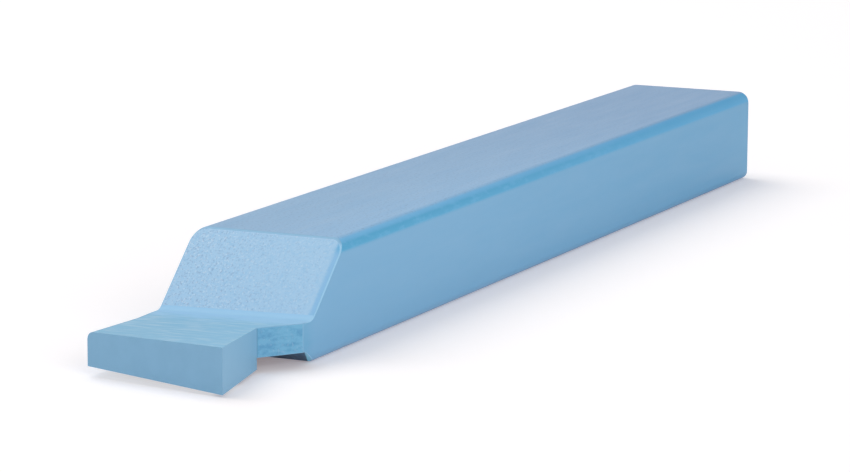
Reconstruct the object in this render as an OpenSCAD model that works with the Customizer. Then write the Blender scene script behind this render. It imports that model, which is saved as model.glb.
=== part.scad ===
// Brazed carbide parting tool, right hand, lying on its left side
// X runs from the tail to the cutting edge, Y from the base to the top, Z from the left side to the right side
// All lengths in millimetres, all angles in degrees

/* [Shank] */
// overall length from the tail to the cutting edge
tool_l = 100; // [80:1:125]
// height of the bar from base to top
shank_h = 12; // [11:0.5:14]
// width of the bar from left side to right side
shank_b = 8; // [7:0.5:10]
// rounding of the two long edges on the right side
edge_r = 1; // [0.6:0.1:1.4]
// rounding of the two long edges on the left side, where the bar lies on the table
under_r = 0.7; // [0.5:0.1:1]
// chamfer around the tail end
tail_chamfer = 0.3; // [0.2:0.1:0.4]

/* [Blade] */
// length of the blade from the shoulder foot to the cutting edge
blade_l = 12; // [11:0.05:14]
// slope of the shoulder above the blade's right side
shoulder_angle = 45; // [35:1:60]
// skew of the shoulder across the bar, forward at the base
shoulder_skew = 2; // [0:0.5:4]
// fillet where the shoulder meets the blade
shoulder_fillet = 1; // [0.4:0.1:1.4]
// clearance of the right side, taken from top to base
right_clearance = 1.2; // [0.5:0.1:2.5]
// relief of the right side, taken from the cutting edge to the shoulder
right_relief = 1.7; // [0.5:0.1:2.5]
// clearance of the left side, taken from top to base
left_clearance = 2.7; // [0.5:0.1:3]
// clearance of the front flank, taken from the cutting edge to the base
front_clearance = 8.5; // [5:0.5:12]
// depth of the relief milled into the left side of the neck
neck_relief = 1.05; // [0.9:0.05:1.3]
// slope of the run-out at the rear of the neck relief
runout_angle = 31; // [26:1:45]
// start of the run-out on the bar's left side, behind the shoulder foot
runout_set = 0.6; // [0.3:0.1:1]

/* [Cutting edge] */
// width of cut
cut_w = 3.25; // [3:0.05:4]
// drop of the cutting edge below the top of the bar
edge_drop = 0.6; // [0.3:0.1:1]
// set of the cutting edge in from the left side of the bar
left_set = 0.18; // [0.1:0.02:0.4]
// rake angle of the tip, falling towards the shank
rake_angle = 11; // [6:1:15]
// slope of the chip ramp behind the tip
ramp_angle = 36; // [32:1:50]

/* [Carbide tip] */
// length of the tip along the rake face
tip_l = 7.7; // [7:0.1:8.5]
// thickness of the tip square to the rake face
tip_t = 3; // [2.5:0.25:3.5]
// thickness of the braze film under and behind the tip
braze_t = 0.15; // [0.1:0.05:0.25]

/* [Hidden] */
$fn = 64;
// reach of a cutter past the metal it removes
over = 20;
tail_x = -tool_l / 2;
edge_x = tool_l / 2;
edge_y = shank_h / 2 - edge_drop;
left_z = left_set;
right_z = left_set + cut_w;
seat_l = tip_l + braze_t;
seat_t = tip_t + braze_t;
foot_x = edge_x - blade_l;
fillet_run = shoulder_fillet * tan(shoulder_angle / 2);

// side view of the bar with the tail chamfered, from so far below its axis to so far above it
module bar_prism(below, above) {
    polygon([
        [tail_x + tail_chamfer, -below],
        [edge_x, -below],
        [edge_x, above],
        [tail_x + tail_chamfer, above],
        [tail_x, above - tail_chamfer],
        [tail_x, -below + tail_chamfer],
    ]);
}

// slab of the bar that stands on its left side, in from the rounded edges by one radius
module upright_slab(radius, above) {
    translate([0, shank_h / 2 - radius, shank_b / 2])
        rotate([90, 0, 0])
            linear_extrude(shank_h - 2 * radius)
                bar_prism(shank_b / 2, above);
}

// pair of rounded long edges at one height, each turned about its own axis
module bar_corners(radius, z) {
    for (side = [-1, 1])
        translate([0, side * (shank_h / 2 - radius), z])
            rotate([0, 90, 0])
                rotate_extrude()
                    polygon([
                        [0, tail_x],
                        [radius - tail_chamfer, tail_x],
                        [radius, tail_x + tail_chamfer],
                        [radius, edge_x],
                        [0, edge_x],
                    ]);
}

// plain bar with rounded long edges and a chamfered tail
module bar() {
    translate([0, 0, under_r])
        linear_extrude(shank_b - edge_r - under_r)
            bar_prism(shank_h / 2, shank_h / 2);
    upright_slab(edge_r, shank_b / 2);
    upright_slab(under_r, 0);
    bar_corners(edge_r, shank_b - edge_r);
    bar_corners(under_r, under_r);
}

// outline of the metal milled away above the blade, with the foot of the shoulder rounded
module shoulder_outline() {
    up = [-cos(shoulder_angle), sin(shoulder_angle)];
    foot = [-blade_l, 0];
    centre = foot + [fillet_run, shoulder_fillet];
    difference() {
        polygon([
            foot,
            [over, 0],
            [over, over],
            foot + up * over / up[1],
        ]);
        polygon([foot, foot + [fillet_run, 0], centre, foot + up * fillet_run]);
    }
    translate(centre)
        circle(shoulder_fillet);
}

// places its children at the right corner of the cutting edge, square to the blade's right side
module at_right_side() {
    translate([edge_x, edge_y, right_z])
        rotate([right_clearance, -right_relief, 0])
            children();
}

// metal removed over the blade's right side, up to the shoulder
module shoulder_cut() {
    at_right_side()
        rotate([0, 0, shoulder_skew])
            translate([0, over, 0])
                rotate([90, 0, 0])
                    linear_extrude(2 * over)
                        shoulder_outline();
}

// metal removed below the head's left side
module left_cut() {
    translate([edge_x, edge_y, left_z])
        rotate([-left_clearance, 0, 0])
            translate([-seat_l, -over, -over])
                cube([seat_l + over, 2 * over, over]);
}

// metal removed in front of the flank
module front_cut() {
    translate([edge_x, edge_y, -over / 2])
        rotate([0, 0, -front_clearance])
            translate([0, -over, 0])
                cube([over, 2 * over, 2 * over]);
}

// metal removed above the rake face and the chip ramp
module rake_cut() {
    translate([edge_x, edge_y, -over / 2])
        rotate([0, 0, rake_angle])
            linear_extrude(2 * over)
                polygon([
                    [-seat_l, 0],
                    [over, 0],
                    [over, over],
                    [-seat_l - over / tan(ramp_angle + rake_angle), over],
                ]);
}

// metal removed beside the neck on the left, ending at the rear wall of the tip seat
module neck_cut() {
    intersection() {
        translate([foot_x - runout_set, over, 0])
            rotate([90, 0, 0])
                linear_extrude(2 * over)
                    polygon([
                        [-over / tan(runout_angle), -over],
                        [neck_relief / tan(runout_angle), neck_relief],
                        [over, neck_relief],
                        [over, -over],
                    ]);
        translate([edge_x, edge_y, -over])
            rotate([0, 0, rake_angle])
                translate([-seat_l - over, -over, 0])
                    cube([over, 2 * over, 2 * over]);
    }
}

// slab lying under the rake face, in from the cutting edge
module under_rake(length, depth) {
    translate([edge_x, edge_y, -over / 2])
        rotate([0, 0, rake_angle])
            translate([-length, -depth, 0])
                cube([length + over, depth + over, over]);
}

// outer form of the whole tool
module tool_form() {
    difference() {
        bar();
        shoulder_cut();
        left_cut();
        front_cut();
        rake_cut();
        neck_cut();
    }
}

module shank() {
    color([0.36, 0.58, 0.74])
        difference() {
            tool_form();
            under_rake(seat_l, seat_t);
        }
}

module carbide_tip() {
    color([0.45, 0.62, 0.74])
        intersection() {
            tool_form();
            under_rake(tip_l, tip_t);
        }
}

module braze_layer() {
    color([0.42, 0.6, 0.74])
        difference() {
            intersection() {
                tool_form();
                under_rake(seat_l, seat_t);
            }
            under_rake(tip_l, tip_t);
        }
}

shank();
carbide_tip();
braze_layer();
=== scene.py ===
from math import pi, radians

import bmesh
import bpy
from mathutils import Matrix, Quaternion, Vector
from mathutils.bvhtree import BVHTree


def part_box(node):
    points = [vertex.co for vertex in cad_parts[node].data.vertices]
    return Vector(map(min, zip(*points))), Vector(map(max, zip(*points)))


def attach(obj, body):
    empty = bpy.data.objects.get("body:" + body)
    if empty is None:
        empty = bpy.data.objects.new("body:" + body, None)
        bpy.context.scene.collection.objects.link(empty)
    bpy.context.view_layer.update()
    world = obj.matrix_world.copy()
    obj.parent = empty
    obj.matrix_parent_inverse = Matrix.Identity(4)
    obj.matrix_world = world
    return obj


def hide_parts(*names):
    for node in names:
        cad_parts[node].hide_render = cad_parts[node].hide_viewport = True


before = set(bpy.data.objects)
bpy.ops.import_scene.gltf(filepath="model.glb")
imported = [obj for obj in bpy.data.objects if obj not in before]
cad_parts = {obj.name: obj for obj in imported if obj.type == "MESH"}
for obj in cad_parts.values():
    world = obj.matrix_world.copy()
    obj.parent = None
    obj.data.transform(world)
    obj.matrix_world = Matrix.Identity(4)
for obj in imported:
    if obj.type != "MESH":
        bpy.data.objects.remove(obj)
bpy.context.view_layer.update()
mm = 0.001
plainWhite = (1.0, 1.0, 1.0, 1.0)
noiseRoughness = 0.6  # how much the finer grains of a noise count
barLow, barHigh = [Vector(corner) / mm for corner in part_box("shank")]  # in millimetres
print("frame loaded:", ", ".join(sorted(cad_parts)))


class Wire:  # one output socket, usable in sums
    def __init__(self, board, socket):
        self.board = board
        self.socket = socket

    def __add__(self, other):
        return self.board.sum("ADD", self, other)

    def __radd__(self, other):
        return self.board.sum("ADD", other, self)

    def __sub__(self, other):
        return self.board.sum("SUBTRACT", self, other)

    def __rsub__(self, other):
        return self.board.sum("SUBTRACT", other, self)

    def __mul__(self, other):
        return self.board.sum("MULTIPLY", self, other)

    def __rmul__(self, other):
        return self.board.sum("MULTIPLY", other, self)

    def __neg__(self):
        return self.board.sum("MULTIPLY", self, -1.0)


class Board:  # the node tree of a material or of the world
    def __init__(self, owner):
        owner.use_nodes = True
        self.tree = owner.node_tree
        self.tree.nodes.clear()

    def node(self, kind, settings=None, inputs=None, output=0):
        made = self.tree.nodes.new(kind)
        for name, value in (settings or {}).items():
            setattr(made, name, value)
        for name, value in (inputs or {}).items():
            if isinstance(value, Wire):
                self.tree.links.new(value.socket, made.inputs[name])
            else:
                made.inputs[name].default_value = value
        return Wire(self, made.outputs[output]) if made.outputs else made

    def sum(self, operation, left, right):
        return self.node("ShaderNodeMath", {"operation": operation}, {0: left, 1: right})

    def blend(self, share, first, second):  # colour from first at 0 to second at 1
        return self.node("ShaderNodeMix", {"data_type": "RGBA"}, {0: share, 6: first, 7: second}, 2)

    def step(self, value, ends):  # smooth rise from 0 at the first end to 1 at the second
        reach = {"Value": value, "From Min": ends[0], "From Max": ends[1], "To Min": 0.0, "To Max": 1.0}
        return self.node("ShaderNodeMapRange", {"interpolation_type": "SMOOTHSTEP"}, reach)

    def noise(self, place, scale, stretch=(1.0, 1.0, 1.0), detail=3.0):  # scale in grains per millimetre
        drawn = self.node("ShaderNodeMapping", None, {"Vector": place, "Scale": stretch})
        settings = {"Vector": drawn, "Scale": scale, "Detail": detail, "Roughness": noiseRoughness}
        return self.node("ShaderNodeTexNoise", None, settings)

    def swing(self, noise, reach):  # from half the reach below 0 to half above
        return (noise - 0.5) * reach

    def place(self):  # where a point lies on the tool, in millimetres
        coords = self.node("ShaderNodeTexCoord", None, None, "Object")
        return self.node("ShaderNodeVectorMath", {"operation": "SCALE"}, {0: coords, "Scale": 1 / mm})

    def axes(self, place):
        return [self.node("ShaderNodeSeparateXYZ", None, {"Vector": place}, axis) for axis in "XYZ"]

    def seenOrMirrored(self):  # 1 for camera, glossy and transmission rays, 0 for the light on the object
        kinds = ["Is Camera Ray", "Is Glossy Ray", "Is Transmission Ray"]
        camera, glossy, through = [self.node("ShaderNodeLightPath", None, None, kind) for kind in kinds]
        return self.sum("MINIMUM", camera + glossy + through, 1.0)

    def enamel(self, colour, roughness, height, gloss):  # satin paint, height in millimetres
        bump = self.node("ShaderNodeBump", None, {"Strength": 1.0, "Distance": mm, "Height": height})
        shader = self.node("ShaderNodeBsdfPrincipled", None, {
            "Base Color": colour,
            "Roughness": roughness,
            "Specular IOR Level": gloss,
            "Normal": bump,
        })
        self.node("ShaderNodeOutputMaterial", None, {"Surface": shader})


def srgb(red, green, blue):  # screen colour, 0 to 255, as the linear colour that nodes take
    def linear(value):
        share = value / 255
        return share / 12.92 if share <= 0.04045 else ((share + 0.055) / 1.055) ** 2.4
    return (linear(red), linear(green), linear(blue), 1.0)


# one sky-blue enamel; what differs from face to face is partly how it was sprayed and what lies under it,
# and partly painted light and shade fitted to each face
enamelLook = {
    "peelScale": 1.3,  # orange peel
    "peelHeight": 0.004,
    "grainScale": 7.0,
    "grainHeight": 0.0012,
    "thinCoatAndGlint": srgb(214, 230, 242),  # where the coat thins over a raised grain, and partly a painted glint off the grain
}


def newBoard(name):
    material = bpy.data.materials.new(name)
    return material, Board(material)


def peel(board, place, share=1.0):
    wide = board.noise(place, enamelLook["peelScale"])
    fine = board.noise(place, enamelLook["grainScale"], detail=1.0)
    return wide * (enamelLook["peelHeight"] * share) + fine * (enamelLook["grainHeight"] * share)


# bar: full colour on the rounded edges, painted lighter towards their top; a greyish film on the flats
# that lay upward, partly dry film and grit and partly painted sheen and shade; darker towards the tail as
# painted shade
barLook = {
    "sky": srgb(99, 176, 222),
    "deep": srgb(62, 161, 206),
    "skyTail": srgb(54, 157, 208),
    "pale": srgb(112, 184, 226),
    "side": srgb(110, 169, 208),
    "sideTail": srgb(88, 158, 200),
    "sideFoot": srgb(97, 165, 204),
    "film": srgb(124, 172, 211),
    "filmEdge": srgb(127, 178, 219),
    "filmTail": srgb(108, 154, 197),
    "grit": srgb(96, 132, 176),
    "flatFrom": 0.14,  # depth below a flat face where its paint begins
    "flatFull": 0.025,  # and where it is full
    "bandEnds": (7.0, 7.28),  # height where the side gives way to the rounded edge
    "roundEnds": (24.0, 26.0),  # distance from the axis, squared, so that the tail's face has no band
    "skyEnds": (7.56, 7.84),  # below this the rounded edge keeps its deeper colour; above it the colour is painted lighter, painted light filling the dip in light on the upper rounding
    "tailEnds": (-30.0, 50.0),  # distance towards the tail, over which the bar's colours darken as painted shade
    "footEnds": (37.6, 39.3),  # towards the chip ramp
    "footSwing": 1.2,
    "edgeEnds": (-3.0, 6.0),  # distance towards the top of the tool
    "patchScale": 1.6,
    "patchStretch": (0.5, 1.2, 1.2),
    "streakScale": 1.1,
    "streakStretch": (0.12, 1.0, 1.0),
    "dustScale": 4.5,
    "dustShare": 0.6,
    "gritEnds": (0.5, 0.72),
    "gritShare": 0.55,
    "patchEnds": (0.45, 0.7),
    "patchShare": 0.35,
    "edgeSwing": 3.0,
    "tailSwing": 10.0,
    "baseShare": 0.8,  # how much film lies on the base
    "underShare": 0.6,
    "roughness": 0.4,
    "roughSwing": 0.14,
    "gloss": 0.5,
}


def barPaint(look):
    material, board = newBoard("bar_paint")
    place = board.place()
    x, y, z = board.axes(place)
    patch = board.noise(place, look["patchScale"], look["patchStretch"])
    streak = board.noise(place, look["streakScale"], look["streakStretch"])
    dust = board.noise(place, look["dustScale"], detail=2.0)
    drift = patch + streak + dust * look["dustShare"] - (1 + look["dustShare"] / 2)

    def onFlat(height, face):
        return board.step(height, (face - look["flatFrom"], face - look["flatFull"]))

    # darker towards the tail: painted shade along the bar
    tail = board.step(drift * look["tailSwing"] - x, look["tailEnds"])
    patchy = board.step(patch, look["patchEnds"]) * look["patchShare"]
    # painted light: the rounded edge is lighter towards its top
    sky = board.blend(board.step(z, look["skyEnds"]), look["deep"], look["sky"])
    sky = board.blend(patchy, sky, look["pale"])
    sky = board.blend(tail, sky, look["skyTail"])
    side = board.blend(tail, look["side"], look["sideTail"])
    foot = board.step(x + drift * look["footSwing"], look["footEnds"])
    side = board.blend(foot, side, look["sideFoot"])
    topward = board.step(y + drift * look["edgeSwing"], look["edgeEnds"])
    # film on the flats: grit and film, with painted sheen and shade on the upward faces
    film = board.blend(topward, look["film"], look["filmEdge"])
    film = board.blend(tail, film, look["filmTail"])
    film = board.blend(board.step(dust, look["gritEnds"]) * look["gritShare"], film, look["grit"])
    band = board.step(z, look["bandEnds"]) * board.step(y * y, look["roundEnds"])
    colour = board.blend(band, side, sky)
    colour = board.blend(onFlat(z, barHigh.z), colour, film)
    colour = board.blend(onFlat(-y, -barLow.y) * look["baseShare"], colour, film)
    colour = board.blend(onFlat(-z, -barLow.z) * look["underShare"], colour, film)
    rough = look["roughness"] + board.swing(streak, look["roughSwing"])
    board.enamel(colour, rough, peel(board, place), look["gloss"])
    return material


# shoulder: thin coat over a blasted face, with grit showing through on the base side
shoulderLook = {
    "pale": srgb(160, 199, 229),
    "sky": srgb(138, 188, 225),
    "grit": srgb(124, 148, 190),
    "margin": srgb(131, 184, 224),
    "corner": srgb(100, 172, 216),
    "cloudScale": 0.5,
    "cloudSwing": 6.0,
    "crowdEnds": (-2.5, 6.0),  # towards the base and the foot, where the grit crowds
    "rise": 0.35,
    "mottleScale": 3.6,
    "mottleEnds": (0.42, 0.72),
    "mottleShare": 0.5,
    "gritScale": 6.4,
    "gritEnds": (0.53, 0.7),
    "gritShare": (0.22, 0.28),  # thinly scattered, and added where it crowds
    "fleckScale": 5.6,
    "fleckStretch": (-1.0, -1.0, 1.0),  # another draw of the same grains
    "fleckEnds": (0.55, 0.74),
    "fleckShare": (0.2, 0.2),
    "runEnds": (4.9, 5.5),  # the coat runs together towards the top of the tool
    "marginEnds": (5.4, 5.72),  # and gathers in full colour along the edge
    "marginSwing": 0.2,
    "cornerEnds": (6.9, 7.4),  # the full colour of the bar's rounded edge comes round the corner
    "mottleHeight": 0.01,
    "gritHeight": 0.005,
    "roughness": 0.6,
    "gloss": 0.5,
}


def shoulderPaint(look):
    material, board = newBoard("shoulder_paint")
    place = board.place()
    _, y, z = board.axes(place)
    cloud = board.noise(place, look["cloudScale"])
    crowd = board.step(cloud * look["cloudSwing"] - y - z * look["rise"], look["crowdEnds"])
    mottle = board.noise(place, look["mottleScale"])
    grit = board.noise(place, look["gritScale"], detail=1.0)
    fleck = board.noise(place, look["fleckScale"], look["fleckStretch"], detail=1.0)
    rough = 1 - board.step(y, look["runEnds"])

    def scattered(grains, ends, share):
        return board.step(grains, ends) * (crowd * share[1] + share[0]) * rough

    mottled = board.step(mottle, look["mottleEnds"]) * look["mottleShare"]
    gritty = scattered(grit, look["gritEnds"], look["gritShare"])
    flecked = scattered(fleck, look["fleckEnds"], look["fleckShare"])
    colour = board.blend(mottled, look["pale"], look["sky"])
    colour = board.blend(gritty, colour, look["grit"])
    # pale flecks: thin coat over the grain, and painted glints
    colour = board.blend(flecked, colour, enamelLook["thinCoatAndGlint"])
    margin = board.step(y + board.swing(mottle, look["marginSwing"]), look["marginEnds"])
    gathered = board.blend(board.step(z, look["cornerEnds"]), look["margin"], look["corner"])
    colour = board.blend(margin, colour, gathered)
    blasted = (mottle * look["mottleHeight"] + grit * look["gritHeight"]) * rough
    board.enamel(colour, look["roughness"], peel(board, place) + blasted, look["gloss"])
    return material


# blade: smooth run of paint along the shoulder's foot, then a thinner coat over the grinding marks
bladeLook = {
    "sky": srgb(150, 198, 232),
    "thin": srgb(131, 186, 218),
    "thinTop": srgb(137, 191, 223),
    "smearScale": 1.4,
    "smearStretch": (0.7, 0.25, 1.0),
    "smearSwing": 5.0,
    "thinEnds": (39.2, 41.2),  # towards the cutting edge
    "topEnds": (-3.0, 5.0),  # towards the rake face
    "markScale": 3.0,
    "markStretch": (1.0, 0.16, 1.0),
    "markEnds": (0.42, 0.7),
    "markShare": 0.26,
    "markHeight": 0.003,
    "peelShare": 0.6,
    "roughness": 0.58,
    "roughSwing": 0.16,
    "gloss": 0.35,
}


def bladePaint(look):
    material, board = newBoard("blade_paint")
    place = board.place()
    x, y, _ = board.axes(place)
    smear = board.noise(place, look["smearScale"], look["smearStretch"])
    marks = board.noise(place, look["markScale"], look["markStretch"])
    thin = board.step(x + board.swing(smear, look["smearSwing"]), look["thinEnds"])
    marked = board.step(marks, look["markEnds"]) * look["markShare"] * thin
    thinned = board.blend(board.step(y, look["topEnds"]), look["thin"], look["thinTop"])
    colour = board.blend(thin, look["sky"], thinned)
    colour = board.blend(marked, colour, enamelLook["thinCoatAndGlint"])
    height = peel(board, place, look["peelShare"]) + marks * look["markHeight"] * thin
    rough = look["roughness"] + board.swing(smear, look["roughSwing"])
    board.enamel(colour, rough, height, look["gloss"])
    return material


# ground faces: flank, rake face and left side of the head, even slate blue
groundLook = {
    "slate": srgb(122, 171, 204),
    "worn": srgb(125, 174, 207),
    "rake": srgb(126, 177, 210),
    "flankX": 49.2,  # where the flank crosses the tool's axis
    "flankLean": 0.15,
    "rakeEnds": (0.05, 0.3),  # distance behind the flank
    "cloudScale": 0.6,
    "cloudEnds": (0.35, 0.65),
    "lineScale": 4.0,
    "lineStretch": (1.0, 0.2, 1.0),
    "lineHeight": 0.0012,
    "peelShare": 0.25,
    "roughness": 0.5,
    "roughSwing": 0.1,
    "gloss": 0.5,
}


def groundPaint(look):
    material, board = newBoard("ground_paint")
    place = board.place()
    x, y, _ = board.axes(place)
    lines = board.noise(place, look["lineScale"], look["lineStretch"])
    cloud = board.noise(place, look["cloudScale"])
    behind = look["flankX"] + y * look["flankLean"] - x
    colour = board.blend(board.step(cloud, look["cloudEnds"]), look["slate"], look["worn"])
    colour = board.blend(board.step(behind, look["rakeEnds"]), colour, look["rake"])
    height = peel(board, place, look["peelShare"]) + lines * look["lineHeight"]
    rough = look["roughness"] + board.swing(cloud, look["roughSwing"])
    board.enamel(colour, rough, height, look["gloss"])
    return material


# chip ramp: the paint lies thick and uneven, with a dark line in the corner behind the tip
rampLook = {
    "teal": srgb(104, 168, 202),
    "thick": srgb(82, 148, 188),
    "corner": srgb(88, 146, 180),
    "patchScale": 1.5,
    "patchStretch": (0.7, 0.7, 1.6),
    "patchEnds": (0.38, 0.7),
    "fineScale": 5.0,
    "fineEnds": (0.55, 0.75),
    "fineShare": 0.15,
    "fineHeight": 0.004,
    "fineSwing": 0.4,
    "cornerEnds": (3.92, 3.98),  # up the ramp
    "roughness": 0.48,
    "roughSwing": 0.15,
    "gloss": 0.5,
}


def rampPaint(look):
    material, board = newBoard("ramp_paint")
    place = board.place()
    _, y, _ = board.axes(place)
    patch = board.noise(place, look["patchScale"], look["patchStretch"])
    fine = board.noise(place, look["fineScale"], detail=2.0)
    uneven = board.step(patch + board.swing(fine, look["fineSwing"]), look["patchEnds"])
    grainy = board.step(fine, look["fineEnds"]) * look["fineShare"]
    colour = board.blend(uneven, look["teal"], look["thick"])
    colour = board.blend(grainy, colour, enamelLook["thinCoatAndGlint"])
    colour = board.blend(board.step(y, look["cornerEnds"]), look["corner"], colour)
    height = peel(board, place) + fine * look["fineHeight"]
    rough = look["roughness"] + board.swing(patch, look["roughSwing"])
    board.enamel(colour, rough, height, look["gloss"])
    return material


# neck relief: painted shade under the bar, dark blue with lighter patches, and a painted lit strip along
# its rim
reliefLook = {
    "notchShade": srgb(44, 82, 110),
    "shadePatch": srgb(64, 110, 146),
    "litRim": srgb(150, 226, 255),
    "rimEnds": (5.36, 5.48),  # towards the top of the tool, at the start of the run-out
    "rimFrom": 37.7,
    "rimLean": 0.37,
    "rimSwing": 0.08,
    "shadePatchScale": 2.2,
    "shadePatchEnds": (0.4, 0.75),
    "roughness": 0.55,
    "roughSwing": 0.2,
    "gloss": 0.5,
}


def reliefPaint(look):
    material, board = newBoard("relief_paint")
    place = board.place()
    x, y, _ = board.axes(place)
    shadePatch = board.noise(place, look["shadePatchScale"])
    beside = y - (x - look["rimFrom"]) * look["rimLean"]
    topward = board.step(beside + board.swing(shadePatch, look["rimSwing"]), look["rimEnds"])
    # painted shade in the notch, with painted light along the rim
    colour = board.blend(board.step(shadePatch, look["shadePatchEnds"]), look["notchShade"], look["shadePatch"])
    colour = board.blend(topward, colour, look["litRim"])
    rough = look["roughness"] + board.swing(shadePatch, look["roughSwing"])
    board.enamel(colour, rough, peel(board, place), look["gloss"])
    return material


# broken edges: a thin rim painted lighter, a painted highlight
edgeLook = {
    "litRim": srgb(150, 199, 231),
    "brim": srgb(128, 178, 213),
    "base": srgb(146, 192, 225),
    "tail": srgb(98, 160, 200),
    "head": srgb(122, 173, 206),
    "baseEnds": (3.5, 4.5),
    "brimEnds": (7.5, 7.8),
    "tailEnds": (20.0, 30.0),
    "headEnds": (38.6, 39.4),
    "wearScale": 2.4,
    "peelShare": 0.5,
    "roughness": 0.45,
    "roughSwing": 0.1,
    "gloss": 0.5,
}


def edgePaint(look):
    material, board = newBoard("edge_paint")
    place = board.place()
    x, y, z = board.axes(place)
    wear = board.noise(place, look["wearScale"])
    # painted highlight along the rim
    colour = board.blend(board.step(y, look["baseEnds"]), look["base"], look["litRim"])
    colour = board.blend(board.step(z, look["brimEnds"]), colour, look["brim"])
    colour = board.blend(board.step(x, look["tailEnds"]), look["tail"], colour)
    colour = board.blend(board.step(x, look["headEnds"]), colour, look["head"])
    rough = look["roughness"] + board.swing(wear, look["roughSwing"])
    board.enamel(colour, rough, peel(board, place, look["peelShare"]), look["gloss"])
    return material


finishes = {
    "bar": barPaint(barLook),
    "shoulder": shoulderPaint(shoulderLook),
    "blade": bladePaint(bladeLook),
    "ground": groundPaint(groundLook),
    "ramp": rampPaint(rampLook),
    "relief": reliefPaint(reliefLook),
    "edge": edgePaint(edgeLook),
}
order = list(finishes)  # every piece carries all the finishes, in this order
print("paint mixed:", ", ".join(order))

# pieces: merged copies of the solids, with their edges broken as paint and tumbling leave them
meshGuide = {
    "sharpAngle": radians(20),  # a fold sharper than this is an edge
    "seamReach": 0.01 * mm,  # a face that lies this close to a neighbour is brazed to it
    "flatAngle": radians(0.6),
    "mergeReach": 0.001 * mm,
    "partLength": 0.8 * mm,  # a long edge is cut into such parts, so that its break can widen along it
    "segments": 4,
    "largeFaces": 100,  # how much a large face keeps its own shading beside a small one
}


def surfaceOf(node):
    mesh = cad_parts[node].data
    points = [vert.co for vert in mesh.vertices]
    return BVHTree.FromPolygons(points, [tuple(face.vertices) for face in mesh.polygons])


def mergedCopy(node):
    solid = bmesh.new()
    solid.from_mesh(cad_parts[node].data)
    bmesh.ops.remove_doubles(solid, verts=solid.verts, dist=meshGuide["mergeReach"])
    bmesh.ops.dissolve_limit(
        solid, angle_limit=meshGuide["flatAngle"], verts=solid.verts, edges=solid.edges)
    bmesh.ops.recalc_face_normals(solid, faces=solid.faces)
    solid.edges.layers.float.new("bevel_weight_edge")
    return solid


def seamFaces(solid, neighbours):  # faces that lie against a neighbour
    surfaces = [surfaceOf(node) for node in neighbours]
    touching = set(solid.faces)
    for corners in solid.calc_loop_triangles():
        middle = sum((corner.vert.co for corner in corners), Vector()) / 3
        gap = min(surface.find_nearest(middle)[3] for surface in surfaces)
        if gap > meshGuide["seamReach"]:
            touching.discard(corners[0].face)
    return touching


def sharpEdges(solid):
    return [
        edge for edge in solid.edges
        if len(edge.link_faces) == 2 and edge.calc_face_angle() > meshGuide["sharpAngle"]
    ]


def cutLong(edges):  # into even parts
    for edge in edges:
        corner = edge.verts[0]
        for left in range(round(edge.calc_length() / meshGuide["partLength"]), 1, -1):
            _, corner = bmesh.utils.edge_split(edge, corner, 1 / left)


def finished(node, neighbours, name, finishOf, widthOf):
    solid = mergedCopy(node)
    cutLong(sharpEdges(solid))
    seams = seamFaces(solid, neighbours)
    for face in solid.faces:
        face.material_index = order.index(finishOf(face.normal, face.calc_center_median() / mm))
    widths = {}
    for edge in sharpEdges(solid):
        middle = (edge.verts[0].co + edge.verts[1].co) / (2 * mm)
        width = widthOf(middle, {order[face.material_index] for face in edge.link_faces})
        convex = edge.calc_face_angle_signed() > 0 and not seams.intersection(edge.link_faces)
        edge.smooth = convex and width > 0
        if edge.smooth:
            widths[edge] = width
    widest = max(widths.values(), default=0.0)
    layer = solid.edges.layers.float["bevel_weight_edge"]
    for edge, width in widths.items():
        edge[layer] = width / widest
    mesh = bpy.data.meshes.new(name)
    solid.to_mesh(mesh)
    solid.free()
    for finish in order:
        mesh.materials.append(finishes[finish])
    mesh.polygons.foreach_set("use_smooth", [True] * len(mesh.polygons))
    piece = bpy.data.objects.new(name, mesh)
    bpy.context.scene.collection.objects.link(piece)
    bevel = piece.modifiers.new("broken edges", "BEVEL")
    bevel.limit_method = "WEIGHT"
    bevel.width = widest
    bevel.segments = meshGuide["segments"]
    bevel.use_clamp_overlap = False  # the narrow facets of the rounded edges would clamp every break
    bevel.material = order.index("edge")
    even = piece.modifiers.new("even shading", "WEIGHTED_NORMAL")
    even.weight = meshGuide["largeFaces"]
    even.keep_sharp = True
    bpy.context.view_layer.update()
    done = piece.evaluated_get(bpy.context.evaluated_depsgraph_get())
    piece.data = bpy.data.meshes.new_from_object(done)
    piece.data.name = name
    piece.modifiers.clear()
    print("piece", name, len(piece.data.polygons), "faces")
    return piece


# shank: bar, shoulder, neck and blade in one
shankLook = {
    "neckX": 36.0,  # the neck lies in front of this
    "headX": 44.0,  # and the tip seat in front of this
    "tailX": 1.0,  # reach of the tail's edges
    "bladeZ": 4.0,  # above the blade's right side, below the bar's
    "sideBreak": 0.08 * mm,  # shoulder against the top of the bar
    "brimBreak": 0.15 * mm,  # shoulder against the right side of the bar
    "brimFrom": 7.2,  # the side break widens to the brim break above this
    "baseBreak": 0.5 * mm,  # blade against the base
    "baseEnds": (39.6, 42.4),  # the side break widens to the base break between these
    "fineBreak": 0.05 * mm,  # other edges; the ground faces keep theirs sharp
    "tailBreak": 0.12 * mm,
    "under": -0.5,  # a face of the neck that turns down more than this lies underneath
    "flank": 0.9,  # one that turns forward more than this is the flank
    "ramp": (0.4, 0.6),  # one that turns forward and to the top more than this is the chip ramp
    "slope": (0.65, 0.4),  # one that turns forward and up more than this is the shoulder
    "upward": 0.7,  # one that turns up more than this is the blade's right side
}


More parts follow.
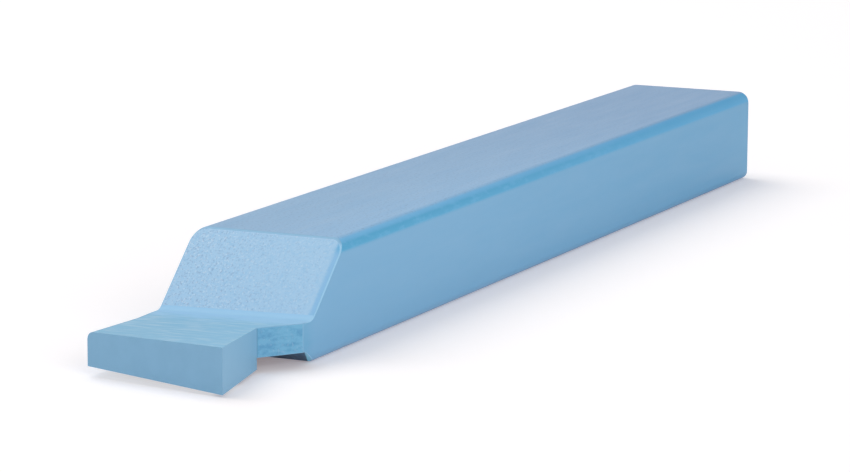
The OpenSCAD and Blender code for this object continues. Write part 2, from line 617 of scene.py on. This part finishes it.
def shankFinish(normal, middle):
    inFront = middle.x > shankLook["neckX"]
    ramp, slope = shankLook["ramp"], shankLook["slope"]
    if inFront and normal.z < shankLook["under"]:
        return "relief" if middle.x < shankLook["headX"] else "ground"
    if inFront and normal.x > shankLook["flank"]:
        return "ground"
    if normal.x > ramp[0] and normal.y > ramp[1]:
        return "ramp"
    if normal.x > slope[0] and normal.z > slope[1]:
        return "shoulder"
    if inFront and normal.z > shankLook["upward"] and middle.z < shankLook["bladeZ"]:
        return "blade"
    return "bar"


def widened(value, ends, widths):  # from the first width at the first end to the second at the second
    share = (value - ends[0]) / (ends[1] - ends[0])
    return widths[0] + (widths[1] - widths[0]) * min(max(share, 0.0), 1.0)


def shankBreak(middle, kinds):
    side = shankLook["sideBreak"]
    if middle.x < barLow.x + shankLook["tailX"]:
        return shankLook["tailBreak"]
    if "ground" in kinds:
        return 0.0
    if middle.y < 0 and kinds == {"blade", "bar"}:
        return widened(middle.x, shankLook["baseEnds"], (side, shankLook["baseBreak"]))
    if kinds == {"shoulder", "bar"}:
        return widened(middle.z, (shankLook["brimFrom"], barHigh.z), (side, shankLook["brimBreak"]))
    return shankLook["fineBreak"]


shank = finished("shank", ["braze_layer"], "painted_shank", shankFinish, shankBreak)

# tip and braze: ground flush with the blade on every outer face, with all edges sharp
tipLook = {"upward": 0.9}  # a face that turns up more than this carries on the blade's right side


def tipFinish(normal, middle):
    return "blade" if normal.z > tipLook["upward"] else "ground"


def tipBreak(middle, kinds):
    return 0.0


tip = finished("carbide_tip", ["braze_layer"], "painted_tip", tipFinish, tipBreak)
braze = finished("braze_layer", ["shank", "carbide_tip"], "painted_braze", tipFinish, tipBreak)

for piece, node, slot in (
    (shank, "shank", "shank_paint"),
    (tip, "carbide_tip", "tip_paint"),
    (braze, "braze_layer", "braze_paint"),
):
    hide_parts(node)
    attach(piece, "root")

# floor: pale paper that shows white and keeps the tool's shadow, with painted light under the head
floorLook = {
    "reach": 3.0,  # in metres each way
    "depth": -0.01 * mm,  # just clear of the tool's underside
    "colour": srgb(255, 250, 250),
    "seen": srgb(243, 244, 244),  # what the camera sees of it, so that the soft end of the shadow shows
    "lift": 0.21,
    "liftColour": (1.0, 0.82, 0.85, 1.0),  # warm, against the blue that the tool throws on the paper
    "whiteEnds": (200.0, 450.0),  # distance from the tool where the paper turns to plain white
    "paintedUnderLight": 0.5,  # painted light on the paper under the head, lightening the head's contact shadow
    "paintedNeckLight": 0.03,  # and under the neck
    "flankEnds": (-0.7, 0.7),  # distance behind the flank
    "neckEnds": (2.4, 4.6),
    "barEnds": (11.0, 14.0),
    "topEnds": (4.0, 5.6),
    "baseEnds": (5.0, 6.6),
}
reach, depth = floorLook["reach"], floorLook["depth"]
corners = [(-reach, -reach, depth), (reach, -reach, depth), (reach, reach, depth), (-reach, reach, depth)]
mesh = bpy.data.meshes.new("floor")
mesh.from_pydata(corners, [], [(0, 1, 2, 3)])
floor = bpy.data.objects.new("floor", mesh)
bpy.context.scene.collection.objects.link(floor)
material, board = newBoard("floor_paper")
paper = board.node("ShaderNodeBsdfDiffuse", None, {"Color": floorLook["colour"]})
seen = board.node("ShaderNodeBsdfDiffuse", None, {"Color": floorLook["seen"]})
lift = board.node("ShaderNodeEmission", None, {
    "Color": floorLook["liftColour"],
    "Strength": floorLook["lift"],
})
white = board.node("ShaderNodeEmission", None, {"Color": plainWhite, "Strength": 1.0})
place = board.place()
x, y, _ = board.axes(place)
away = board.node("ShaderNodeVectorMath", {"operation": "LENGTH"}, {0: place}, "Value")
behind = groundLook["flankX"] + y * groundLook["flankLean"] - x
fall = board.step(behind, floorLook["neckEnds"]) * (floorLook["paintedUnderLight"] - floorLook["paintedNeckLight"])
along = board.step(behind, floorLook["flankEnds"]) * (1 - board.step(behind, floorLook["barEnds"]))
across = (1 - board.step(y, floorLook["topEnds"])) * (1 - board.step(-y, floorLook["baseEnds"]))
far = board.step(away, floorLook["whiteEnds"])
# painted light under the head and neck
glow = board.sum("MAXIMUM", far, (floorLook["paintedUnderLight"] - fall) * along * across)
shown = board.node("ShaderNodeAddShader", None, {0: seen, 1: lift})
shown = board.node("ShaderNodeMixShader", None, {0: glow, 1: shown, 2: white})
surface = board.node("ShaderNodeMixShader", None, {0: board.seenOrMirrored(), 1: paper, 2: shown})
board.node("ShaderNodeOutputMaterial", None, {"Surface": surface})
mesh.materials.append(material)

# world: soft light all round, with a white backdrop that greys overhead in what the paint mirrors
worldLook = {"ambient": 0.45, "overhead": 0.3, "greyEnds": (0.2, 0.6)}
world = bpy.data.worlds.new("studio")
bpy.context.scene.world = world
board = Board(world)
way = board.node("ShaderNodeTexCoord", None, None, "Generated")
rise = board.step(board.axes(way)[2], worldLook["greyEnds"])
backdrop = 1 - rise * (1 - worldLook["overhead"])
strength = worldLook["ambient"] + board.seenOrMirrored() * (backdrop - worldLook["ambient"])
sky = board.node("ShaderNodeBackground", None, {"Color": plainWhite, "Strength": strength})
board.node("ShaderNodeOutputWorld", None, {"Surface": sky})

# lamps: a wide key overhead and behind, and a low fill beside the camera
lampLook = {
    "key": {"way": (-0.1, -0.53, 0.84), "distance": 0.8, "size": 0.7, "share": 0.55},
    "fill": {"way": (0.6, 0.75, 0.3), "distance": 0.8, "size": 0.5, "share": 0.43},
}
for name, look in lampLook.items():
    data = bpy.data.lights.new(name, "AREA")
    data.shape = "SQUARE"
    data.size = look["size"]
    data.energy = look["share"] * pi * pi * look["distance"] ** 2  # share 1 lights white paper to white
    lamp = bpy.data.objects.new(name, data)
    way = Vector(look["way"]).normalized()
    lamp.location = way * look["distance"]
    lamp.rotation_mode = "QUATERNION"
    lamp.rotation_quaternion = way.to_track_quat("Z", "Y")
    bpy.context.scene.collection.objects.link(lamp)

# camera, worked out from the bar's straight edges
cameraLook = {
    "place": (0.25074, 0.11479, 0.05296),
    "aim": (-0.8898, -0.4190, -0.1807),
    "roll": radians(0.227),
    "lens": 148.73,
    "sensor": 36.0,
    "nearest": 0.01,
}
data = bpy.data.cameras.new("camera")
data.sensor_fit = "HORIZONTAL"
data.sensor_width = cameraLook["sensor"]
data.lens = cameraLook["lens"]
data.clip_start = cameraLook["nearest"]
camera = bpy.data.objects.new("camera", data)
camera.location = cameraLook["place"]
camera.rotation_mode = "QUATERNION"
turn = Quaternion((0, 0, 1), cameraLook["roll"])
camera.rotation_quaternion = Vector(cameraLook["aim"]).to_track_quat("-Z", "Y") @ turn
bpy.context.scene.collection.objects.link(camera)
bpy.context.scene.camera = camera
bpy.context.scene.view_settings.view_transform = "Standard"
print("floor, lamps and camera placed")
